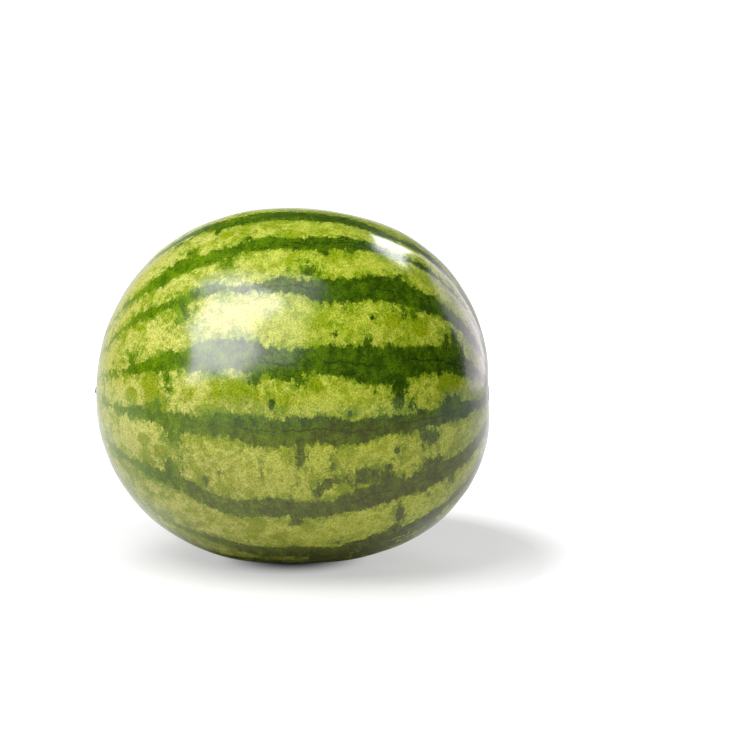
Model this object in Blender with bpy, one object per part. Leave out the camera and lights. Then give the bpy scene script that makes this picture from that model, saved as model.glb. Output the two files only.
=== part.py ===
"""A whole striped watermelon with yellow flesh, lying on its side, with the cut stub of its stem.

Units are metres. +Z is up, +X points from the stem end to the blossom end, and -Y is the front.
The origin is the middle of the small flat on which the fruit rests.
"""

import math

import bmesh
import bpy
from mathutils import Vector

# The fruit, measured from the line that joins its two poles
HALF_LENGTH = 0.1086
HALF_WIDTH = 0.0985
CROWN_HEIGHT = 0.1019
POLE_LINE_HEIGHT = 0.0946
REST_CUT = 0.0009  # how much of the belly the resting flat takes off

# How full the outline is between its ends and its sides: 2 is an ellipse, more is squarer
FULLNESS = 2.225
FULLER_BLOSSOM_END = 0.10
FULLER_BELLY = 0.03

# Low swells and hollows that make it less regular: direction, height and angular spread
SWELLS = (
    ((0.95, -0.05, -0.30), 0.0028, 0.40),
    ((-0.90, -0.05, 0.42), -0.0010, 0.35),
    ((-0.25, 0.94, 0.22), 0.0014, 0.50),
    ((0.50, 0.78, 0.37), -0.0010, 0.40),
)

# One shallow furrow runs under each dark stripe, at these angles about the pole line: 0 is the
# front, 90 the top and 180 the back
STRIPE_ANGLES = (
    -64, -31, -4, 17, 41, 59, 76,
    97, 118, 139, 162, 184, 208, 230, 252, 274,
)
FURROW_DEPTH = 0.0004

# The two ends: a hollow round each pole, a socket for the stem and a round blossom scar
STEM_HOLLOW_DEPTH = 0.0022
STEM_HOLLOW_SPREAD = 0.010
SOCKET_RADIUS = 0.0037
SOCKET_DEPTH = 0.0014
BLOSSOM_HOLLOW_DEPTH = 0.0016
BLOSSOM_HOLLOW_SPREAD = 0.010
SCAR_RADIUS = 0.0044
SCAR_HEIGHT = 0.0007
SCAR_EDGE = 0.0010

# The stub of the stem
STUB_GAP = 0.0003
STUB_REACH = 0.0044  # how far it stands out of the hollow
STUB_FOOT_RADIUS = 0.0031
STUB_TIP_RADIUS = 0.0020
STUB_RIDGES = 5
STUB_RIDGE_SHARE = 0.07
STUB_SLANT = 0.20  # slope of the cut across the tip

# Mesh density
FRUIT_RINGS = 36
FRUIT_SIDES = 80
POLE_CROWDING = 0.62
STUB_RINGS = 8
STUB_SIDES = 30

RIND_COLOUR = (0.24, 0.36, 0.03, 1.0)
STUB_COLOUR = (0.16, 0.12, 0.05, 1.0)


def clear_scene():
    for obj in list(bpy.data.objects):
        bpy.data.objects.remove(obj)


def material(name, colour, roughness):
    made = bpy.data.materials.new(name)
    made.use_nodes = True
    shader = made.node_tree.nodes["Principled BSDF"]
    shader.inputs["Base Color"].default_value = colour
    shader.inputs["Roughness"].default_value = roughness
    shader.inputs["Metallic"].default_value = 0.0
    return made


def body_radius(along, across, up):
    """Distance from the middle of the pole line to the plain body in a unit direction."""
    fullness = FULLNESS + FULLER_BLOSSOM_END * along - FULLER_BELLY * up
    half_height = CROWN_HEIGHT if up > 0 else POLE_LINE_HEIGHT + REST_CUT
    end_share = abs(along) / HALF_LENGTH
    side_share = math.hypot(across / HALF_WIDTH, up / half_height)
    return (end_share**fullness + side_share**fullness) ** (-1 / fullness)


def swell(direction):
    """Height of the low swells in a unit direction."""
    total = 0.0
    for towards, height, spread in SWELLS:
        apart = Vector(direction).angle(Vector(towards))
        total += height * math.exp(-0.5 * (apart / spread) ** 2)
    return total


def furrow(turn, off_pole):
    """Depth of the furrows at an angle about the pole line, fading out towards the poles."""
    degrees = math.degrees(turn)
    below = max(a for a in (STRIPE_ANGLES[-1] - 360, *STRIPE_ANGLES) if a <= degrees)
    above = min(a for a in (*STRIPE_ANGLES, STRIPE_ANGLES[0] + 360) if a > degrees)
    share = (degrees - below) / (above - below)
    return FURROW_DEPTH * (0.5 + 0.5 * math.cos(2 * math.pi * share)) * off_pole**1.5


def pole_relief(along, off_line):
    """Height of the hollows and the blossom scar, from the distance to the pole line."""
    if along < 0:
        return -STEM_HOLLOW_DEPTH * math.exp(-0.5 * (off_line / STEM_HOLLOW_SPREAD) ** 2)
    hollow = BLOSSOM_HOLLOW_DEPTH * math.exp(-0.5 * (off_line / BLOSSOM_HOLLOW_SPREAD) ** 2)
    scar = SCAR_HEIGHT / (1 + math.exp(4 * (off_line - SCAR_RADIUS) / SCAR_EDGE))
    return scar - hollow


def fruit_point(polar, turn):
    """A point of the skin: polar runs from 0 at the stem to pi, turn goes round the pole line."""
    along = -math.cos(polar)
    off_pole = math.sin(polar)
    direction = (along, -off_pole * math.cos(turn), off_pole * math.sin(turn))
    radius = body_radius(*direction) + swell(direction)
    radius += pole_relief(along, radius * off_pole) - furrow(turn, off_pole)
    x, y, z = (radius * d for d in direction)
    return (x, y, z + POLE_LINE_HEIGHT)


def ring_angles():
    """Polar angles of the rings, from the socket's rim to the scar, closer together at the ends."""
    first = SOCKET_RADIUS / HALF_LENGTH
    last = math.pi - 0.5 * SCAR_RADIUS / HALF_LENGTH
    for step in range(FRUIT_RINGS + 1):
        share = step / FRUIT_RINGS
        eased = share - POLE_CROWDING * math.sin(2 * math.pi * share) / (2 * math.pi)
        yield first + (last - first) * eased


def ring_of(bm, points):
    return [bm.verts.new(p) for p in points]


def bridge(bm, near, far):
    for i in range(len(near)):
        j = (i + 1) % len(near)
        bm.faces.new((near[i], far[i], far[j], near[j]))


def fan(bm, tip, ring):
    for i in range(len(ring)):
        bm.faces.new((tip, ring[i], ring[(i + 1) % len(ring)]))


def finish(bm, name, colour, roughness):
    """Turn the mesh into a named, smoothly shaded object with its own material."""
    bmesh.ops.recalc_face_normals(bm, faces=bm.faces)
    mesh = bpy.data.meshes.new(name)
    bm.to_mesh(mesh)
    bm.free()
    mesh.shade_smooth()
    mesh.set_sharp_from_angle(angle=math.radians(40))
    mesh.materials.append(material(name, colour, roughness))
    bpy.context.collection.objects.link(bpy.data.objects.new(name, mesh))


def socket_floor_x():
    rim = fruit_point(SOCKET_RADIUS / HALF_LENGTH, 0.0)
    return rim[0] + SOCKET_DEPTH


def cut_resting_flat(bm):
    """Slice off what lies below z = 0 and close the cut with one flat face."""
    cut = bmesh.ops.bisect_plane(
        bm,
        geom=bm.verts[:] + bm.edges[:] + bm.faces[:],
        plane_co=(0.0, 0.0, 0.0),
        plane_no=(0.0, 0.0, -1.0),
        clear_outer=True,
    )
    rim = [e for e in cut["geom_cut"] if isinstance(e, bmesh.types.BMEdge)]
    bmesh.ops.contextual_create(bm, geom=rim)


def make_fruit():
    bm = bmesh.new()
    start = math.radians(STRIPE_ANGLES[0])
    turns = [start + 2 * math.pi * i / FRUIT_SIDES for i in range(FRUIT_SIDES)]
    rings = [ring_of(bm, [fruit_point(p, t) for t in turns]) for p in ring_angles()]
    floor_x = socket_floor_x()
    floor_ring = ring_of(bm, [(floor_x, v.co.y, v.co.z) for v in rings[0]])
    fan(bm, bm.verts.new((floor_x, 0.0, POLE_LINE_HEIGHT)), floor_ring)
    bridge(bm, floor_ring, rings[0])
    for near, far in zip(rings, rings[1:]):
        bridge(bm, near, far)
    fan(bm, bm.verts.new(fruit_point(math.pi, 0.0)), rings[-1])
    cut_resting_flat(bm)
    finish(bm, "fruit", RIND_COLOUR, 0.3)


def stub_ring(share, base_x, tip_x):
    """Points of the stub's outline at a share of its length: a wide foot, then a slim stalk."""
    plain = STUB_TIP_RADIUS + (STUB_FOOT_RADIUS - STUB_TIP_RADIUS) * (1 - share) ** 2
    for i in range(STUB_SIDES):
        turn = 2 * math.pi * i / STUB_SIDES
        radius = plain * (1 + STUB_RIDGE_SHARE * math.cos(STUB_RIDGES * turn))
        y = radius * math.cos(turn)
        z = radius * math.sin(turn)
        x = base_x + (tip_x - base_x) * share + STUB_SLANT * z * share
        yield (x, y, z + POLE_LINE_HEIGHT)


def make_stem_stub():
    bm = bmesh.new()
    base_x = socket_floor_x() - STUB_GAP
    tip_x = fruit_point(0.0, 0.0)[0] - STUB_REACH
    shares = [step / STUB_RINGS for step in range(STUB_RINGS + 1)]
    rings = [ring_of(bm, stub_ring(share, base_x, tip_x)) for share in shares]
    fan(bm, bm.verts.new((base_x, 0.0, POLE_LINE_HEIGHT)), rings[0])
    for near, far in zip(rings, rings[1:]):
        bridge(bm, near, far)
    fan(bm, bm.verts.new((tip_x, 0.0, POLE_LINE_HEIGHT)), rings[-1])
    finish(bm, "stem_stub", STUB_COLOUR, 0.8)


clear_scene()
make_fruit()
make_stem_stub()
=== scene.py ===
"""A whole striped watermelon lying on its side, with the dry stub of its stem.

Metres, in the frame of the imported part: +Z is up, +X points from the stem end to the blossom end
and -Y is the front. The fruit rests on the floor at the origin.
"""

from collections import namedtuple
import math

import bpy
import numpy as np
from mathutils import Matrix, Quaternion, Vector


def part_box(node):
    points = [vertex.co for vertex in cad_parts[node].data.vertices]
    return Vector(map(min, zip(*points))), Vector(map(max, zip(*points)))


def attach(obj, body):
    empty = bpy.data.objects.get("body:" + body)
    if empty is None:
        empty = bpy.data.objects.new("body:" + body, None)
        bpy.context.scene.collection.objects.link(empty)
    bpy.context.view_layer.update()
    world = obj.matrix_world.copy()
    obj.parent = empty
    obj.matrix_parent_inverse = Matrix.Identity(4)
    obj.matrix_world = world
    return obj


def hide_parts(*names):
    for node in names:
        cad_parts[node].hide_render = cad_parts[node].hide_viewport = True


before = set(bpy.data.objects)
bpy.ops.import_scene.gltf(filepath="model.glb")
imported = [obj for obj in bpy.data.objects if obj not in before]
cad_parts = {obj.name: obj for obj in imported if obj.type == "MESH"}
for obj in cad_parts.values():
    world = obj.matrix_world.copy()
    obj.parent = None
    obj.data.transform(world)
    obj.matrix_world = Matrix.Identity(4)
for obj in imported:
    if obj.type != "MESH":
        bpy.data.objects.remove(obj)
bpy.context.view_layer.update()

MM = 0.001

# The outline of the fruit, as in the CAD solid
HALF_LENGTH = 0.1086
HALF_WIDTH = 0.0985
CROWN_HEIGHT = 0.1019
POLE_LINE_HEIGHT = 0.0946
REST_CUT = 0.0009
FULLNESS = 2.225
FULLER_BLOSSOM_END = 0.10
FULLER_BELLY = 0.03
SWELLS = (
    ((0.95, -0.05, -0.30), 0.0028, 0.40),
    ((-0.90, -0.05, 0.42), -0.0010, 0.35),
    ((-0.25, 0.94, 0.22), 0.0014, 0.50),
    ((0.50, 0.78, 0.37), -0.0010, 0.40),
)
FURROW_DEPTH = 0.0004
STEM_HOLLOW_DEPTH = 0.0022
STEM_HOLLOW_SPREAD = 0.010
SOCKET_RADIUS = 0.0037
SOCKET_DEPTH = 0.0014
BLOSSOM_HOLLOW_DEPTH = 0.0016
BLOSSOM_HOLLOW_SPREAD = 0.010
SCAR_RADIUS = 0.0044
SCAR_HEIGHT = 0.0007
SCAR_EDGE = 0.0010
STEEPEST_EDGE = 50  # keeps the scar's formula within what a number can hold

# The stub of the stem, as in the CAD solid
STUB_FOOT_RADIUS = 0.0031
STUB_TIP_RADIUS = 0.0020
STUB_RIDGES = 5
STUB_RIDGE_SHARE = 0.07
STUB_SLANT = 0.20

# Detail of the stub: fine fibres, a rounded lip and a hollow in the cut. The hollow's rings are
# given by how far they are from the lip to the middle and how deep they lie, in shares.
STUB_FIBRES = 23
STUB_FIBRE_SHARE = 0.02
STUB_FIBRE_TWIST = 5
LIP_START = 0.93
LIP_SHARE = 0.10
CUT_DEPTH = 4 * STUB_TIP_RADIUS
CUT_PROFILE = ((0.15, -0.01), (0.3, 0.01), (0.55, 0.06), (0.8, 0.09))

# The rounded lip, wall and floor of the stem's socket, in shares of its radius and its depth
SOCKET_PROFILE = ((0.02, 0.12), (0.05, 0.35), (0.05, 0.80), (0.12, 0.97), (0.5, 1.0))

# Fine relief of the skin: faint waves that soften its reflections
WAVE_SEED = 5
WAVE_HEIGHT = 0.00009
WAVE_LENGTHS = (0.052, 0.034, 0.023)
WAVES_PER_LENGTH = 3

# Dark stripes in order round the fruit. At each station along it, in mm, a stripe has an angle
# about the pole line, with 0 at the front and 90 at the top, and a half width, both in degrees.
# The last value is the place along the fruit, in mm, where it has come to half its strength.
STATIONS = (-88, -60, -30, 0, 30, 60, 88)
STRIPES = (
    ((-50, -50, -53, -56, -57, -55, -56), (2.0, 2.2, 3.0, 4.4, 4.8, 5.2, 3.0), -54),
    ((-25, -24, -30, -31, -31, -28, -30), (2.7, 3.3, 3.6, 4.0, 3.8, 5.2, 5.6), -72),
    ((0, -2, -3, -4, -4, -4, -1), (2.5, 2.8, 3.4, 4.6, 4.4, 3.8, 4.4), -78),
    ((17, 17, 19, 17, 17, 18, 23), (2.5, 2.8, 5.0, 4.4, 4.4, 6.2, 5.5), -84),
    ((37, 39, 41, 41, 41, 45, 46), (2.3, 2.5, 1.7, 2.2, 4.4, 5.4, 4.0), -78),
    ((52, 53, 56, 59, 61, 64, 66), (2.5, 3.6, 2.7, 3.2, 3.3, 1.5, 1.3), -78),
    ((74, 77, 76, 77, 77, 77, 78), (2.0, 3.0, 3.6, 4.3, 3.4, 2.6, 2.0), -66),
    ((96, 97, 98, 97, 97, 99, 98), (2.4, 3.0, 4.2, 3.6, 4.4, 4.0, 2.6), -74),
    ((114, 116, 118, 119, 118, 116, 118), (2.2, 3.2, 2.6, 4.0, 3.2, 4.6, 3.4), -62),
    ((138, 137, 139, 140, 139, 141, 140), (2.8, 3.4, 4.8, 4.2, 5.0, 3.4, 3.0), -80),
    ((160, 162, 161, 162, 164, 161, 159), (2.2, 2.6, 3.6, 4.6, 3.8, 4.4, 3.2), -70),
    ((181, 182, 185, 184, 184, 186, 186), (2.6, 3.6, 4.4, 3.8, 4.8, 4.2, 4.4), -82),
    ((207, 206, 207, 209, 208, 206, 207), (2.0, 2.8, 3.2, 4.4, 3.4, 4.6, 2.8), -60),
    ((229, 231, 230, 229, 231, 233, 232), (2.6, 3.4, 4.0, 3.4, 4.4, 3.6, 3.2), -76),
    ((255, 253, 251, 252, 253, 251, 250), (2.2, 2.8, 4.2, 4.6, 3.6, 4.2, 3.4), -64),
    ((275, 274, 273, 275, 274, 272, 273), (2.4, 3.2, 3.4, 4.0, 4.4, 3.8, 2.8), -72),
)
SWAY_SEED = 3
SWAY_DEGREES = 0.6
SWAY_LENGTH = 0.043
FADE_LENGTH = 34
FADED = 0.25
BLEND_BETWEEN = (0.35, 0.65)  # where, between two stripes, one's width gives way to the other's

# Dark spurs, links and spots on the front: place along the fruit in mm, angle about the pole line
# in degrees, half length along it and half breadth across it in mm
FRONT_BLOTS = (
    (-48, 60, 2.4, 3.8), (-26, 52, 3.4, 4.4), (-18, 61.5, 1.8, 4.8), (-57, 72, 3.0, 3.6),
    (-36, 70.5, 1.4, 4.0), (35, 58, 3.0, 3.0), (22, 56.5, 3.0, 2.4), (-50, 36, 3.8, 6.0),
    (17, 47, 4.5, 3.6), (35, 38, 5.0, 4.2), (64, 50, 3.6, 4.4), (66, 38, 4.4, 4.6),
    (50, 33, 1.3, 1.6), (-77, 21, 2.6, 3.6), (-56, 11, 2.2, 5.2), (31, 25, 1.5, 5.0),
    (48, 23.5, 1.6, 3.8), (92, 32, 3.8, 7.0), (15, 12, 4.0, 3.4), (-9, 12, 3.0, 2.6),
    (64.5, 7, 3.8, 11.0), (70, 3, 2.6, 4.4), (91, 3, 5.5, 6.0), (53, 8, 0.9, 1.2),
    (0, 4, 1.0, 2.4), (-63, 2, 4.0, 3.4), (40, 1, 3.0, 2.2), (-52, -8, 3.4, 3.6),
    (14, -11.5, 3.0, 3.8), (30.5, -13, 1.2, 4.4), (63.5, -12.5, 1.3, 1.6), (80, -9.5, 3.2, 5.6),
    (-6, -17, 0.8, 4.2), (-28, -18, 1.2, 1.3), (-54, -20, 5.0, 4.4), (-36, -23, 1.8, 3.6),
    (27, -21.5, 6.0, 2.6), (22, -25, 2.4, 4.2), (49, -21.5, 10.0, 4.4), (82, -23.5, 6.5, 3.8),
    (10, -37, 4.4, 2.2), (64, -41, 2.2, 12.0), (79, -39, 1.0, 3.2), (90, -38, 1.8, 4.2),
    (29, -50, 2.8, 2.6), (60, -49.5, 4.6, 3.0), (48, -64, 44, 9.0), (-20, -66, 16, 2.0),
)
BLOT_DEPTH = 2.2

# The rest of the fruit has spurs and spots of the same kind, drawn at random between these values
SPUR_SEED = 11
SPURS_PER_STRIPE = 8
SPUR_ALONG = (-80, 90)
SPUR_OFF_EDGE = (-1, 1)
SPUR_LENGTH = (1.2, 4.5)
SPUR_BREADTH = (2.5, 6.0)
SPOTS = 40
SPOT_ALONG = (-85, 90)
SPOT_LENGTH = (0.8, 1.8)
SPOT_BREADTH = (1.0, 2.6)
FRONT_EDGES = (-62, 86)

# Patches of saturated olive in the light bands: place in mm, angle in degrees and radius in mm
OLIVE_PATCHES = (
    (-62, 3, 6.5), (-66, 11, 5.0), (-77, 6, 4.0), (88, 11, 5.0), (60, 33, 4.5), (74, 33, 4.0),
    (-30, 66, 4.0), (-8, 12, 3.5), (22, 10, 3.0), (-60, -14, 4.0), (-70, -11, 3.6),
    (-67, -20, 3.4), (-20, 148, 5.0), (40, 170, 5.0), (-64, 196, 6.0), (-58, 120, 5.0),
    (10, 220, 4.5), (70, 132, 4.5),
)
OLIVE_SOFTNESS = 0.45

# Skin colours as sRGB bytes; the lit ones are lighter copies for the stem end, which paint light
# there
PALE_GREEN = (148, 158, 51)
LIT_PALE_GREEN = (160, 163, 78)
LIGHT_GREEN = (112, 129, 14)
OLIVE_GREEN = (112, 126, 2)
MID_GREEN = (84, 114, 4)
STRIPE_GREEN = (62, 88, 3)
DEEP_GREEN = (36, 58, 2)
LIT_STRIPE_GREEN = (84, 112, 5)
LIT_DEEP_GREEN = (54, 82, 3)
VEIN_GREEN = (20, 34, 2)
FADED_GREEN = (104, 124, 26)
CORK_PALE = (158, 138, 88)
CORK_DARK = (84, 64, 34)
STEM_PALE = (112, 104, 66)
STEM_DARK = (44, 38, 26)

# Painted warm light on the lower half: linear values that are added to the colour of the underside
UNDERSIDE_PAINTED_LIGHT = (0.034, 0.016, 0.002)

# Noise in the skin: how much shorter its blotches are along the fruit, their size in mm, and the
# noise's detail and roughness
EDGE_SWAY = (1.4, 13, 2.0, 0.5)
EDGE_TEETH = (1.9, 6, 8.0, 0.80)
PALE_PATCHES = (1.1, 10, 8.0, 0.76)
BROAD_PATCHES = (1.0, 45, 2.0, 0.5)
OLIVE_MOTTLE = (1.0, 5, 5.0, 0.75)
GREEN_FLECKS = (1.1, 4, 7.0, 0.78)
STRIPE_MOTTLE = (1.5, 8, 8.0, 0.76)
VEIN_WARP = (1.0, 6, 4.0, 0.5)
VEIN_WANDER = (1.0, 9, 5.0, 0.65)
VEIN_BREAKS = (1.0, 22, 2.0, 0.5)
CORK_EDGE = (1.0, 2.5, 4.0, 0.7)
CORK_MOTTLE = (1.0, 1.4, 5.0, 0.7)
GRAIN = (1.0, 0.9, 2.0, 0.7)
FINE_BUMPS = (1.0, 2.2, 3.0, 0.6)
LONG_STREAKS = (0.12, 2.5, 3.0, 0.6)
STEM_STREAKS = (0.25, 0.6, 4.0, 0.7)

# The stripes' edges, in mm: how far noise moves them, how far a faded stripe draws back, and how
# wide the change from light to dark is
SWAY_REACH = 7.0
TEETH_REACH = 15.0
WEAK_RETREAT = 2.5
STRIPE_EDGE = (0.5, -0.5)

# The light skin: levels of noise between which a colour sets in, and what shifts them
PALE_LEVELS = (0.39, 0.57)
BROAD_SHIFT = 0.35
STEM_END_SHIFT = 0.03
LOWER_END_SHIFT = -0.08
OLIVE_SHIFT = 1.1
OLIVE_LEVELS = (0.40, 0.75)
OLIVE_SHARE = 0.85
FLECK_LEVELS = (0.57, 0.48)
FLECK_RISE = 0.023  # per mm from the stripe's edge
FLECK_SHARE = 0.8

# The dark skin: its mottling, and its veins, which are a net and a line along each stripe's middle
STRIPE_LEVELS = (0.40, 0.60)
VEIN_SHIFT = 7 * MM
NET_CELL = 5 * MM
NET_STRETCH = (0.5, 1.0, 1.0)
NET_LINE = (0.09, 0.01)
NET_SHARE = 0.55
MAIN_VEIN_REACH = 8.0
MAIN_VEIN = (0.7, 0.15)
VEIN_GAPS = (0.38, 0.55)
VEIN_SHARE = 0.75

# Where the skin changes or painted light sets in, in metres along the fruit, above the floor or off
# the pole line
# Between these places along the fruit, the painted light at the stem end gives way to the darker
# colours
STEM_END_LIGHT_FADE = (-0.070, 0.045)
STEM_END = (-0.045, -0.100)
LOWER_END = (-0.020, -0.060)
LOWER_HALF = (0.105, 0.045)
# The painted warm light of the underside sets in below these heights and past these places along the
# fruit
UNDERSIDE = (0.100, 0.062)
UNDERSIDE_START = (-0.080, -0.035)
VEINED = (-0.075, 0.005)
STREAKED = (0.020, 0.070)
CORK_ENDS = 0.090
STEM_CORK = (0.0075, 0.0048)
BLOSSOM_CORK = (0.0062, 0.0040)
CORK_EDGE_REACH = 0.006
CORK_LEVELS = (0.40, 0.62)

# Surface of the skin and of the stub
GRAIN_CONTRAST = 2.3
GRAIN_RELIEF = 0.25
STREAK_RELIEF = 1.2
RIND_RELIEF = 0.035 * MM
RIND_ROUGHNESS = 0.16
RIND_GLOSS = 0.38
STEM_LEVELS = (0.35, 0.65)
STEM_RELIEF = 0.2 * MM
STEM_BUMP = 0.5
STEM_ROUGHNESS = 0.8

# Mesh density
RIND_RINGS = 280
RIND_SIDES = 336
FIRST_SIDE = -69  # degrees, below the lowest stripe in front
POLE_CROWDING = 0.55
LAST_RING_RADIUS = 0.3 * MM
STUB_RINGS = 40
STUB_SIDES = 70

# Camera: degrees round from the front and up, distance, lens in mm and what it aims at
CAMERA_AZIMUTH = 6
CAMERA_ELEVATION = 8
CAMERA_DISTANCE = 1.15
CAMERA_LENS = 99.0
AIM_RIGHT = 0.0464
AIM_UP = 0.0089

# Floor: the camera sees white, apart from the shadow near the fruit. Pairs of distances in metres
# say where a light value sets in.
FLOOR_REACH = 6.0
FLOOR_DROP = -0.0001
FLOOR_SHADE = 0.38
FLOOR_ROUGHNESS = 0.5
FLOOR_GLOW = (0.06, 0.22)
CONTACT = (0.012, 0.045)
NEAR_GLOW = 0.49

# What the skin reflects of the floor is dimmer, and warm in front of the fruit
BOUNCE_REACH = (0.038, 0.105)
NEAR_BOUNCE = 0.46
TABLE_REACH = (0.10, 0.33)
TABLE_LIGHT = 0.75
TABLE_COLOUR = (1.0, 0.80, 0.14, 1.0)
TABLE_FRONT = (-0.05, -0.30)
TABLE_END = (-0.58, -0.33)

# Room: a low bright backdrop behind the fruit
BACKDROP_LIGHT = 0.7
BACKDROP_WIDTH = (0.35, 1.0)
BACKDROP_TOP = (0.40, 0.10)
ROOM_LIGHT = 0.03

# Panels: direction from the fruit as degrees round from the camera to the right and degrees up,
# distance, width, height, roll in degrees, brightness, colour, and whether a panel lights the body
# or shows in its gloss
WHITE = (1.0, 1.0, 1.0)
LAVENDER = (1.0, 0.87, 1.06)
Panel = namedtuple(
    "Panel", "name azimuth elevation distance width height roll brightness colour lights"
)
PANELS = (
    Panel("key", -38, 50, 0.95, 0.66, 0.80, 0, 10.6, WHITE, "body"),
    Panel("fill", 22, 14, 1.30, 1.20, 0.70, 0, 1.6, WHITE, "body"),
    Panel("back_light", 165, 50, 1.20, 0.70, 0.70, 0, 2.2, WHITE, "body"),
    Panel("softbox", -38, 34, 0.95, 0.60, 0.84, 9, 10.8, LAVENDER, "gloss"),
    Panel("softbox_glow", -32, 42, 0.96, 0.92, 1.00, 9, 3.0, LAVENDER, "gloss"),
    Panel("rim_panel", 130, 16, 1.40, 1.00, 1.00, 0, 1.8, LAVENDER, "gloss"),
    Panel("small_lamp", 139, 50, 1.20, 0.23, 0.44, 43, 12.0, WHITE, "gloss"),
)


def linear(red, green, blue):
    """A colour given as sRGB bytes, as Blender's linear values."""
    def channel(byte):
        value = byte / 255
        return value / 12.92 if value <= 0.04045 else ((value + 0.055) / 1.055) ** 2.4
    return (channel(red), channel(green), channel(blue), 1.0)


def smooth_step(value, low, high):
    share = np.clip((value - low) / (high - low), 0, 1)
    return share * share * (3 - 2 * share)


# The body of the fruit


def body_radius(along, across, up):
    """Distance from the middle of the pole line to the plain body in unit directions."""
    fullness = FULLNESS + FULLER_BLOSSOM_END * along - FULLER_BELLY * up
    half_height = np.where(up > 0, CROWN_HEIGHT, POLE_LINE_HEIGHT + REST_CUT)
    end_share = np.abs(along) / HALF_LENGTH
    side_share = np.hypot(across / HALF_WIDTH, up / half_height)
    return (end_share**fullness + side_share**fullness) ** (-1 / fullness)


def swell(directions):
    """Height of the low swells in unit directions."""
    total = 0.0
    for towards, height, spread in SWELLS:
        cosine = directions @ np.array(Vector(towards).normalized())
        apart = np.arccos(np.clip(cosine, -1, 1))
        total = total + height * np.exp(-0.5 * (apart / spread) ** 2)
    return total


def waves(points):
    """Faint ripples in the skin, from plane waves in directions drawn at random."""
    draw = np.random.default_rng(WAVE_SEED)
    total = 0.0
    for length in WAVE_LENGTHS:
        for _ in range(WAVES_PER_LENGTH):
            heading = draw.normal(size=3)
            heading *= 2 * math.pi / length / np.linalg.norm(heading)
            total = total + np.sin(points @ heading + draw.uniform(0, 2 * math.pi))
    return WAVE_HEIGHT * total


def pole_relief(along, off_line):
    """Height of the hollows and the blossom scar, from the distance to the pole line."""
    stem = -STEM_HOLLOW_DEPTH * np.exp(-0.5 * (off_line / STEM_HOLLOW_SPREAD) ** 2)
    hollow = BLOSSOM_HOLLOW_DEPTH * np.exp(-0.5 * (off_line / BLOSSOM_HOLLOW_SPREAD) ** 2)
    edge = np.clip(4 * (off_line - SCAR_RADIUS) / SCAR_EDGE, -STEEPEST_EDGE, STEEPEST_EDGE)
    scar = SCAR_HEIGHT / (1 + np.exp(edge))
    return np.where(along < 0, stem, scar - hollow)


def smooth_curve(values, along):
    """Values given at the stations, joined by a smooth curve and read at places along the fruit."""
    values = np.array(values, dtype=float)
    slopes = np.gradient(values)
    place = np.interp(along, STATIONS, np.arange(len(STATIONS)))
    low = np.minimum(place.astype(int), len(STATIONS) - 2)
    t = place - low
    rise = values[low + 1] - values[low]
    start = slopes[low] - rise
    end = slopes[low + 1] - rise
    return values[low] + rise * t + t * (1 - t) * ((1 - t) * start - t * end)


def stripe_rows(along):
    """Angle, half width in degrees and strength, one row a stripe, at places along the fruit."""
    draw = np.random.default_rng(SWAY_SEED)
    middles, halves, strengths = [], [], []
    for middle, half, fade in STRIPES:
        phase = draw.uniform(0, 2 * math.pi)
        sway = SWAY_DEGREES * np.sin(2 * math.pi * along * MM / SWAY_LENGTH + phase)
        middles.append(smooth_curve(middle, along) + sway)
        halves.append(smooth_curve(half, along))
        ready = smooth_step(along, fade - FADE_LENGTH / 2, fade + FADE_LENGTH / 2)
        strengths.append(FADED + (1 - FADED) * ready)
    return np.array(middles), np.array(halves), np.array(strengths)


def wrapped(rows, turn):
    """The rows with the last one repeated before the first and the first after the last."""
    return np.concatenate([rows[-1:] - turn, rows, rows[:1] + turn])


def stripe_places(degrees, along):
    """Where each vertex is between the stripes below and above it.

    Returns the share of the way up, the gap, and the half width and strength that hold there.
    """
    middles, halves, strengths = stripe_rows(along)
    middles = wrapped(middles, 360)
    below = (middles[:, :, None] <= degrees[None]).sum(0) - 1
    rings = np.arange(len(along))[:, None]
    low = middles[below, rings]
    gap = middles[below + 1, rings] - low
    share = (degrees - low) / gap
    upper = smooth_step(share, *BLEND_BETWEEN)
    blended = []
    for rows in (wrapped(halves, 0), wrapped(strengths, 0)):
        blended.append(rows[below, rings] * (1 - upper) + rows[below + 1, rings] * upper)
    return share, gap, *blended


def off_pole_line(points):
    """Distance of each point from the pole line, in mm."""
    return np.hypot(points[..., 1], points[..., 2] - POLE_LINE_HEIGHT) / MM


def turn_between(degrees, angle):
    """The shorter way round from an angle, from -180 to 180 degrees."""
    return (degrees - angle + 180) % 360 - 180


def blot_list():
    """The front's blots, and random ones round the rest of the fruit."""
    draw = np.random.default_rng(SPUR_SEED)
    blots = list(FRONT_BLOTS)
    front_low, front_high = FRONT_EDGES
    for middle, half, _ in STRIPES:
        for _ in range(SPURS_PER_STRIPE):
            along = draw.uniform(*SPUR_ALONG)
            side = draw.choice((-1, 1)) * (max(half) + draw.uniform(*SPUR_OFF_EDGE))
            degrees = float(np.interp(along, STATIONS, middle)) + side
            size = (draw.uniform(*SPUR_LENGTH), draw.uniform(*SPUR_BREADTH))
            if not front_low < (degrees + 90) % 360 - 90 < front_high:
                blots.append((along, degrees, *size))
    for _ in range(SPOTS):
        along = draw.uniform(*SPOT_ALONG)
        degrees = draw.uniform(front_high, front_low + 360)
        blots.append((along, degrees, draw.uniform(*SPOT_LENGTH), draw.uniform(*SPOT_BREADTH)))
    return blots


def stripe_edge(points, degrees, share, gap, half):
    """Distance in mm from each vertex to the nearest stripe's edge, below 0 inside a stripe."""
    off_line = off_pole_line(points)
    edge = np.radians(np.minimum(share, 1 - share) * gap - half) * off_line
    for along, angle, length, breadth in blot_list():
        ahead = (points[..., 0] / MM - along) / length
        beside = np.radians(turn_between(degrees, angle)) * off_line / breadth
        blot = (np.hypot(ahead, beside) - 1) * BLOT_DEPTH
        edge = np.minimum(edge, blot)
    return edge


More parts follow.
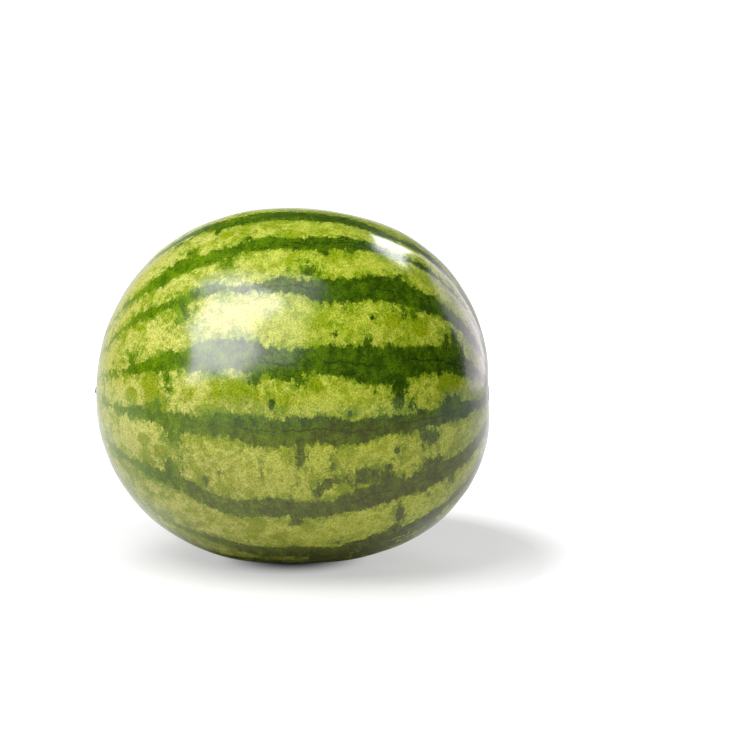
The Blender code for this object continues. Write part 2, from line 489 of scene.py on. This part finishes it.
def olive_patches(points, degrees):
    """1 in the middle of each olive patch, down to 0 round it."""
    off_line = off_pole_line(points)
    total = 0.0
    for along, angle, size in OLIVE_PATCHES:
        ahead = (points[..., 0] / MM - along) / size
        beside = np.radians(turn_between(degrees, angle)) * off_line / size
        total = total + np.exp(-OLIVE_SOFTNESS * (ahead**2 + beside**2) ** 2)
    return np.minimum(total, 1)


def ring_angles():
    """Polar angles of the rings, from the socket's rim to the scar's middle."""
    first = SOCKET_RADIUS / HALF_LENGTH
    last = math.pi - LAST_RING_RADIUS / HALF_LENGTH
    share = np.linspace(0, 1, RIND_RINGS)
    eased = share - POLE_CROWDING * np.sin(2 * math.pi * share) / (2 * math.pi)
    return first + (last - first) * eased


def rind_points(polar, turn):
    """The skin's vertices as rings by sides, with the stripes' and the olive patches' values."""
    along = -np.cos(polar)[:, None] + 0 * turn
    off_pole = np.sin(polar)[:, None] + 0 * turn
    directions = np.stack([along, -off_pole * np.cos(turn), off_pole * np.sin(turn)], -1)
    radius = body_radius(along, directions[..., 1], directions[..., 2]) + swell(directions)
    degrees = np.degrees(turn)[None] + 0 * along
    share, gap, half, strength = stripe_places(degrees, (radius * along).mean(1) / MM)
    furrow = FURROW_DEPTH * (0.5 + 0.5 * np.cos(2 * math.pi * share)) * off_pole**1.5
    radius = radius + pole_relief(along, radius * off_pole) - furrow
    radius = radius + waves(radius[..., None] * directions) * off_pole
    points = radius[..., None] * directions + np.array([0, 0, POLE_LINE_HEIGHT])
    points[..., 2] = np.maximum(points[..., 2], 0)
    edge = stripe_edge(points, degrees, share, gap, half)
    reach = np.radians(gap) * radius * off_pole / MM
    band = np.stack(
        [edge, reach * np.sin(2 * math.pi * share), reach * np.cos(2 * math.pi * share)], -1
    )
    return points, band, strength, olive_patches(points, degrees)


def socket_rings(rim):
    """The rings of the stem's socket, from its rim inwards."""
    middle = np.array([0, 0, POLE_LINE_HEIGHT])
    rings = []
    for inward, deeper in SOCKET_PROFILE:
        ring = rim.copy()
        ring[:, 1:] = middle[1:] + (rim[:, 1:] - middle[1:]) * (1 - inward)
        ring[:, 0] = rim[:, 0] + SOCKET_DEPTH * deeper
        rings.append(ring)
    return rings


def grid_object(name, rings, tips):
    """A closed mesh from rings of points and a tip at each end."""
    count, sides = len(rings), len(rings[0])
    points = np.concatenate([np.concatenate(rings), np.array(tips)])
    faces = []
    for ring in range(count - 1):
        for side in range(sides):
            after = (side + 1) % sides
            here, there = ring * sides, (ring + 1) * sides
            faces.append((here + side, there + side, there + after, here + after))
    last = (count - 1) * sides
    for side in range(sides):
        after = (side + 1) % sides
        faces.append((count * sides, side, after))
        faces.append((count * sides + 1, last + after, last + side))
    mesh = bpy.data.meshes.new(name)
    mesh.from_pydata(points.tolist(), [], faces)
    mesh.shade_smooth()
    piece = bpy.data.objects.new(name, mesh)
    bpy.context.collection.objects.link(piece)
    return piece


def keep_values(piece, name, values, inner):
    """Store the skin's values at its vertices, with the first ring's on the socket too."""
    rings = [values[0]] * inner + list(values)
    tips = [values[0][:1], values[-1][:1]]
    flat = np.concatenate([*rings, *tips]).astype(np.float32).ravel()
    kind, field = ("FLOAT", "value") if values.ndim == 2 else ("FLOAT_VECTOR", "vector")
    layer = piece.data.attributes.new(name, kind, "POINT")
    layer.data.foreach_set(field, flat)


def make_rind():
    turn = math.radians(FIRST_SIDE) + 2 * math.pi * np.arange(RIND_SIDES) / RIND_SIDES
    points, band, strength, olive = rind_points(ring_angles(), turn)
    inner = socket_rings(points[0])[::-1]
    floor = (inner[0][:, 0].mean(), 0, POLE_LINE_HEIGHT)
    piece = grid_object("watermelon_rind", inner + list(points), [floor, points[-1].mean(0)])
    keep_values(piece, "band", band, len(inner))
    keep_values(piece, "strength", strength, len(inner))
    keep_values(piece, "olive", olive, len(inner))
    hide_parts("fruit")
    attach(piece, "root")
    return piece


# The stub of the stem


def stub_ring(share, base_x, tip_x):
    """Points of the stub's outline at a share of its length: a wide foot, then a slim stalk."""
    turn = 2 * math.pi * np.arange(STUB_SIDES) / STUB_SIDES
    plain = STUB_TIP_RADIUS + (STUB_FOOT_RADIUS - STUB_TIP_RADIUS) * (1 - share) ** 2
    ridges = 1 + STUB_RIDGE_SHARE * np.cos(STUB_RIDGES * turn)
    fibres = 1 + STUB_FIBRE_SHARE * np.sin(STUB_FIBRES * turn + STUB_FIBRE_TWIST * share)
    lip = 1 - LIP_SHARE * smooth_step(share, LIP_START, 1.0)
    radius = plain * ridges * fibres * lip
    y = radius * np.cos(turn)
    z = radius * np.sin(turn)
    x = base_x + (tip_x - base_x) * share + STUB_SLANT * z * share
    return np.stack([x, y, z + POLE_LINE_HEIGHT], -1)


def cut_rings(edge):
    """Rings from the edge of the cut to its hollow middle."""
    middle = edge.mean(0)
    rings = []
    for inward, deeper in CUT_PROFILE:
        ring = middle + (edge - middle) * (1 - inward)
        ring[:, 0] += deeper * CUT_DEPTH
        rings.append(ring)
    return rings


def make_stub():
    low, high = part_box("stem_stub")
    base_x = high.x
    tip_x = base_x - (high.x - low.x) + STUB_SLANT * STUB_TIP_RADIUS
    rings = [stub_ring(share, base_x, tip_x) for share in np.linspace(0, 1, STUB_RINGS)]
    rings += cut_rings(rings[-1])
    piece = grid_object("cut_stem", rings, [rings[0].mean(0), rings[-1].mean(0)])
    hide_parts("stem_stub")
    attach(piece, "root")
    return piece


# Materials


class Graph:
    """Short calls for building the nodes of one material or world."""

    def __init__(self, owner):
        self.owner = owner
        owner.use_nodes = True
        self.tree = owner.node_tree

    def node(self, kind, *inputs, **settings):
        made = self.tree.nodes.new(kind)
        for key, value in settings.items():
            setattr(made, key, value)
        for place, value in inputs:
            self.put(made.inputs[place], value)
        return made

    def put(self, socket, value):
        if isinstance(value, bpy.types.NodeSocket):
            self.tree.links.new(value, socket)
        else:
            socket.default_value = value

    def place(self):
        """The place of the shaded point in the object's own frame, in metres."""
        return self.node("ShaderNodeTexCoord").outputs["Object"]

    def attribute(self, name, output):
        return self.node("ShaderNodeAttribute", attribute_name=name).outputs[output]

    def split(self, vector):
        return self.node("ShaderNodeSeparateXYZ", (0, vector)).outputs

    def math(self, operation, *values):
        return self.node("ShaderNodeMath", *enumerate(values), operation=operation).outputs[0]

    def vector(self, operation, *values):
        made = self.node("ShaderNodeVectorMath", *enumerate(values), operation=operation)
        return made.outputs[0]

    def total(self, *values):
        result = values[0]
        for value in values[1:]:
            result = self.math("ADD", result, value)
        return result

    def length(self, first, second):
        """The length of an arrow from its two parts."""
        squares = self.total(self.math("POWER", first, 2.0), self.math("POWER", second, 2.0))
        return self.math("SQRT", squares)

    def noise(self, place, squeeze, size, detail, roughness, output="Fac"):
        """Fractal noise from 0 to 1 with blotches of about the given size in mm."""
        made = self.node(
            "ShaderNodeTexNoise",
            ("Vector", self.vector("MULTIPLY", place, (squeeze, 1.0, 1.0))),
            ("Scale", 1 / (size * MM)),
            ("Detail", detail),
            ("Roughness", roughness),
        )
        return made.outputs[output]

    def around(self, value, height):
        """A noise from 0 to 1 as a height to both sides of 0."""
        return self.math("MULTIPLY", self.math("SUBTRACT", value, 0.5), height)

    def step(self, value, low, high):
        """0 below low and 1 above high, or the other way round when low is the larger."""
        flip = low > high
        made = self.node(
            "ShaderNodeMapRange",
            ("Value", value),
            ("From Min", min(low, high)),
            ("From Max", max(low, high)),
            ("To Min", 1.0 if flip else 0.0),
            ("To Max", 0.0 if flip else 1.0),
            interpolation_type="SMOOTHSTEP",
        )
        return made.outputs["Result"]

    def mix(self, factor, first, second):
        """The first colour where the factor is 0 and the second where it is 1."""
        made = self.node("ShaderNodeMix", data_type="RGBA")
        self.put(made.inputs[0], factor)
        self.put(made.inputs[6], first)
        self.put(made.inputs[7], second)
        return made.outputs[2]

    def tint(self, skin, colour, factor, share):
        """The skin turned to a colour given as bytes, by the factor times the share."""
        return self.mix(self.math("MULTIPLY", factor, share), skin, linear(*colour))


def ragged_edge(g, place, smooth_edge):
    """The distance to the nearest stripe's edge in mm, with feathery teeth across the stripes."""
    return g.total(
        smooth_edge,
        g.around(g.noise(place, *EDGE_SWAY), SWAY_REACH),
        g.around(g.noise(place, *EDGE_TEETH), TEETH_REACH),
    )


def light_skin(g, place, edge, painted_shade):
    """Pale patches on yellow green, with olive ones, and green flecks that gather near stripes."""
    along, _, height = g.split(place)
    broad = g.around(g.noise(place, *BROAD_PATCHES), BROAD_SHIFT)
    stem_end = g.math("MULTIPLY", g.step(along, *STEM_END), STEM_END_SHIFT)
    lower_end = g.math("MULTIPLY", g.step(along, *LOWER_END), g.step(height, *LOWER_HALF))
    shift = g.total(broad, stem_end, g.math("MULTIPLY", lower_end, LOWER_END_SHIFT))
    patches = g.math("ADD", g.noise(place, *PALE_PATCHES), shift)
    # Painted light: a lighter pale green toward the stem end
    pale = g.mix(painted_shade, linear(*LIT_PALE_GREEN), linear(*PALE_GREEN))
    skin = g.mix(g.step(patches, *PALE_LEVELS), linear(*LIGHT_GREEN), pale)
    mottle = g.around(g.noise(place, *OLIVE_MOTTLE), OLIVE_SHIFT)
    olive = g.step(g.math("ADD", g.attribute("olive", "Fac"), mottle), *OLIVE_LEVELS)
    skin = g.tint(skin, OLIVE_GREEN, olive, OLIVE_SHARE)
    flecks = g.math("ADD", g.math("MULTIPLY", edge, FLECK_RISE), g.noise(place, *GREEN_FLECKS))
    return g.tint(skin, MID_GREEN, g.step(flecks, *FLECK_LEVELS), FLECK_SHARE)


def vein_net(g, place):
    """A net of thin lines, with its meshes pulled out of shape."""
    pull = g.vector("SUBTRACT", g.noise(place, *VEIN_WARP, output="Color"), (0.5, 0.5, 0.5))
    pulled = g.vector("ADD", place, g.vector("MULTIPLY", pull, (VEIN_SHIFT,) * 3))
    net = g.node(
        "ShaderNodeTexVoronoi",
        ("Vector", g.vector("MULTIPLY", pulled, NET_STRETCH)),
        ("Scale", 1 / NET_CELL),
        feature="DISTANCE_TO_EDGE",
    )
    return g.step(net.outputs["Distance"], *NET_LINE)


def main_veins(g, place, parts):
    """A line that wanders along each stripe's middle."""
    turn = g.math("ARCTAN2", parts[1], parts[2])
    gap = g.length(parts[1], parts[2])
    offset = g.math("MULTIPLY", g.math("MULTIPLY", turn, gap), 1 / (2 * math.pi))
    wander = g.around(g.noise(place, *VEIN_WANDER), MAIN_VEIN_REACH)
    return g.step(g.math("ABSOLUTE", g.math("ADD", offset, wander)), *MAIN_VEIN)


def vein_lines(g, place, parts):
    """The net and the main veins, with breaks, and none at the stem end."""
    net = g.math("MULTIPLY", vein_net(g, place), NET_SHARE)
    lines = g.math("MAXIMUM", net, main_veins(g, place, parts))
    breaks = g.step(g.noise(place, *VEIN_BREAKS), *VEIN_GAPS)
    grown = g.step(g.split(place)[0], *VEINED)
    return g.math("MULTIPLY", lines, g.math("MULTIPLY", breaks, grown))


def dark_skin(g, place, parts, painted_shade):
    """Two mottled greens with dark veins, made lighter toward the stem end by painted light."""
    mottle = g.step(g.noise(place, *STRIPE_MOTTLE), *STRIPE_LEVELS)
    lit_stripe = g.mix(mottle, linear(*LIT_DEEP_GREEN), linear(*LIT_STRIPE_GREEN))
    shaded_stripe = g.mix(mottle, linear(*DEEP_GREEN), linear(*STRIPE_GREEN))
    skin = g.mix(painted_shade, lit_stripe, shaded_stripe)
    return g.tint(skin, VEIN_GREEN, vein_lines(g, place, parts), VEIN_SHARE)


def paint_underside_light(g, place, skin):
    """Painted light: a little warm light added to the colour of the lower half."""
    along, _, height = g.split(place)
    below = g.math("MULTIPLY", g.step(height, *UNDERSIDE), g.step(along, *UNDERSIDE_START))
    return g.vector("MULTIPLY_ADD", UNDERSIDE_PAINTED_LIGHT, below, skin)


def corky_ends(g, place, skin):
    """Tan, corky skin round the stem's socket and on the blossom scar."""
    along, across, height = g.split(place)
    off_line = g.length(across, g.math("SUBTRACT", height, POLE_LINE_HEIGHT))
    off_line = g.math("ADD", off_line, g.around(g.noise(place, *CORK_EDGE), CORK_EDGE_REACH))
    at_stem = g.math("LESS_THAN", along, -CORK_ENDS)
    at_blossom = g.math("GREATER_THAN", along, CORK_ENDS)
    stem = g.math("MULTIPLY", g.step(off_line, *STEM_CORK), at_stem)
    blossom = g.math("MULTIPLY", g.step(off_line, *BLOSSOM_CORK), at_blossom)
    mottle = g.step(g.noise(place, *CORK_MOTTLE), *CORK_LEVELS)
    cork = g.mix(mottle, linear(*CORK_DARK), linear(*CORK_PALE))
    return g.mix(g.math("MAXIMUM", stem, blossom), skin, cork)


def skin_colour(g, place):
    """The light and dark skin, from the values stored at the vertices."""
    parts = g.split(g.attribute("band", "Vector"))
    strength = g.attribute("strength", "Fac")
    retreat = g.math("MULTIPLY", g.math("SUBTRACT", 1.0, strength), WEAK_RETREAT)
    edge = g.math("ADD", ragged_edge(g, place, parts[0]), retreat)
    # Painted shade: 0 at the stem end, where the lit colours paint light, rising to 1 toward the
    # blossom end
    painted_shade = g.step(g.split(place)[0], *STEM_END_LIGHT_FADE)
    dark = g.mix(strength, linear(*FADED_GREEN), dark_skin(g, place, parts, painted_shade))
    skin = g.mix(g.step(edge, *STRIPE_EDGE), light_skin(g, place, edge, painted_shade), dark)
    # The lower half gets painted warm light
    return corky_ends(g, place, paint_underside_light(g, place, skin))


def skin_relief(g, place, grain):
    """Fine bumps and grain, and streaks along the fruit toward its blossom end."""
    streaked = g.math("MULTIPLY", g.step(g.split(place)[0], *STREAKED), STREAK_RELIEF)
    streaks = g.math("MULTIPLY", g.noise(place, *LONG_STREAKS), streaked)
    bumps = g.noise(place, *FINE_BUMPS)
    return g.total(bumps, g.math("MULTIPLY", grain, GRAIN_RELIEF), streaks)


def rind_material():
    g = Graph(bpy.data.materials.new("rind"))
    shader = g.tree.nodes["Principled BSDF"]
    place = g.place()
    grain = g.noise(place, *GRAIN)
    shaded = g.node("ShaderNodeVectorMath", (0, skin_colour(g, place)), operation="SCALE")
    g.put(shaded.inputs["Scale"], g.math("ADD", g.around(grain, GRAIN_CONTRAST), 1.0))
    g.put(shader.inputs["Base Color"], shaded.outputs[0])
    shader.inputs["Roughness"].default_value = RIND_ROUGHNESS
    shader.inputs["Specular IOR Level"].default_value = RIND_GLOSS
    relief = skin_relief(g, place, grain)
    bump = g.node("ShaderNodeBump", ("Height", relief), ("Strength", 1.0), ("Distance", RIND_RELIEF))
    g.put(shader.inputs["Normal"], bump.outputs[0])
    return g.owner


def stem_material():
    g = Graph(bpy.data.materials.new("stem"))
    shader = g.tree.nodes["Principled BSDF"]
    streaks = g.noise(g.place(), *STEM_STREAKS)
    colour = g.mix(g.step(streaks, *STEM_LEVELS), linear(*STEM_DARK), linear(*STEM_PALE))
    g.put(shader.inputs["Base Color"], colour)
    shader.inputs["Roughness"].default_value = STEM_ROUGHNESS
    bump = g.node(
        "ShaderNodeBump", ("Height", streaks), ("Strength", STEM_BUMP), ("Distance", STEM_RELIEF)
    )
    g.put(shader.inputs["Normal"], bump.outputs[0])
    return g.owner


# Studio


def camera_axes():
    """The camera's right, back and up as seen from the fruit."""
    azimuth = math.radians(CAMERA_AZIMUTH)
    elevation = math.radians(CAMERA_ELEVATION)
    back = Vector(
        (
            math.sin(azimuth) * math.cos(elevation),
            -math.cos(azimuth) * math.cos(elevation),
            math.sin(elevation),
        )
    )
    right = Vector((math.cos(azimuth), math.sin(azimuth), 0.0))
    return right, back, back.cross(right)


def make_camera():
    right, back, up = camera_axes()
    middle = Vector((0, 0, POLE_LINE_HEIGHT))
    data = bpy.data.cameras.new("camera")
    data.lens = CAMERA_LENS
    camera = bpy.data.objects.new("camera", data)
    bpy.context.collection.objects.link(camera)
    camera.location = middle + back * CAMERA_DISTANCE
    target = middle + right * AIM_RIGHT + up * AIM_UP
    camera.rotation_mode = "QUATERNION"
    camera.rotation_quaternion = (target - camera.location).to_track_quat("-Z", "Y")
    bpy.context.scene.camera = camera


def make_light(panel):
    """A soft panel that faces the fruit, placed by its direction in the camera's terms."""
    right, back, up = camera_axes()
    turn = math.radians(panel.azimuth)
    rise = math.radians(panel.elevation)
    level = right * math.sin(turn) + back * math.cos(turn)
    heading = level * math.cos(rise) + up * math.sin(rise)
    data = bpy.data.lights.new(panel.name, "AREA")
    data.shape = "RECTANGLE"
    data.size = panel.width
    data.size_y = panel.height
    data.energy = panel.brightness * math.pi * panel.width * panel.height
    data.color = panel.colour
    light = bpy.data.objects.new(panel.name, data)
    bpy.context.collection.objects.link(light)
    light.location = Vector((0, 0, POLE_LINE_HEIGHT)) + heading * panel.distance
    light.rotation_mode = "QUATERNION"
    rolled = Quaternion((0, 0, 1), math.radians(panel.roll))
    light.rotation_quaternion = (-heading).to_track_quat("-Z", "Y") @ rolled
    light.visible_camera = False
    light.visible_diffuse = panel.lights == "body"
    light.visible_glossy = panel.lights == "gloss"


def floor_material():
    """White to the camera, apart from the shadow, and a dimmer table in reflections."""
    g = Graph(bpy.data.materials.new("floor"))
    shader = g.tree.nodes["Principled BSDF"]
    place = g.place()
    far = g.node("ShaderNodeVectorMath", (0, place), operation="LENGTH").outputs["Value"]
    contact = g.math("MULTIPLY", g.step(far, *CONTACT), NEAR_GLOW)
    white = g.math("MAXIMUM", g.step(far, *FLOOR_GLOW), contact)
    beyond = g.step(far, *TABLE_REACH)
    near = g.math("MULTIPLY", g.step(far, *BOUNCE_REACH), NEAR_BOUNCE)
    table = g.math("MAXIMUM", g.math("MULTIPLY", beyond, TABLE_LIGHT), near)
    forward = g.split(place)[1]
    front = g.math("MULTIPLY", g.step(forward, *TABLE_FRONT), g.step(forward, *TABLE_END))
    seen = g.node("ShaderNodeLightPath").outputs["Is Camera Ray"]
    unseen = g.math("SUBTRACT", 1.0, seen)
    warm = g.math("MULTIPLY", g.math("MULTIPLY", beyond, front), unseen)
    glow = g.math("ADD", g.math("MULTIPLY", white, seen), g.math("MULTIPLY", table, unseen))
    g.put(shader.inputs["Emission Color"], g.mix(warm, (*WHITE, 1.0), TABLE_COLOUR))
    g.put(shader.inputs["Emission Strength"], glow)
    shader.inputs["Base Color"].default_value = (FLOOR_SHADE, FLOOR_SHADE, FLOOR_SHADE, 1.0)
    shader.inputs["Roughness"].default_value = FLOOR_ROUGHNESS
    return g.owner


def make_floor():
    signs = ((-1, -1), (1, -1), (1, 1), (-1, 1))
    corners = [(sx * FLOOR_REACH, sy * FLOOR_REACH, FLOOR_DROP) for sx, sy in signs]
    mesh = bpy.data.meshes.new("floor")
    mesh.from_pydata(corners, [], [(0, 1, 2, 3)])
    mesh.materials.append(floor_material())
    floor = bpy.data.objects.new("floor", mesh)
    bpy.context.collection.objects.link(floor)


def make_world():
    """White where the camera looks, and a low bright backdrop behind the fruit for its light."""
    g = Graph(bpy.data.worlds.new("studio"))
    _, behind, above = g.split(g.node("ShaderNodeTexCoord").outputs["Generated"])
    backdrop = g.math("MULTIPLY", g.step(behind, *BACKDROP_WIDTH), g.step(above, *BACKDROP_TOP))
    room = g.math("ADD", g.math("MULTIPLY", backdrop, BACKDROP_LIGHT), ROOM_LIGHT)
    seen = g.node("ShaderNodeLightPath").outputs["Is Camera Ray"]
    background = g.tree.nodes["Background"]
    g.put(background.inputs["Strength"], g.math("MAXIMUM", room, seen))
    background.inputs["Color"].default_value = (*WHITE, 1.0)
    bpy.context.scene.world = g.owner


def make_studio():
    make_floor()
    make_world()
    for panel in PANELS:
        make_light(panel)
    make_camera()
    bpy.context.scene.view_settings.view_transform = "Standard"


rind = make_rind()
rind.data.materials.append(rind_material())
stub = make_stub()
stub.data.materials.append(stem_material())
make_studio()
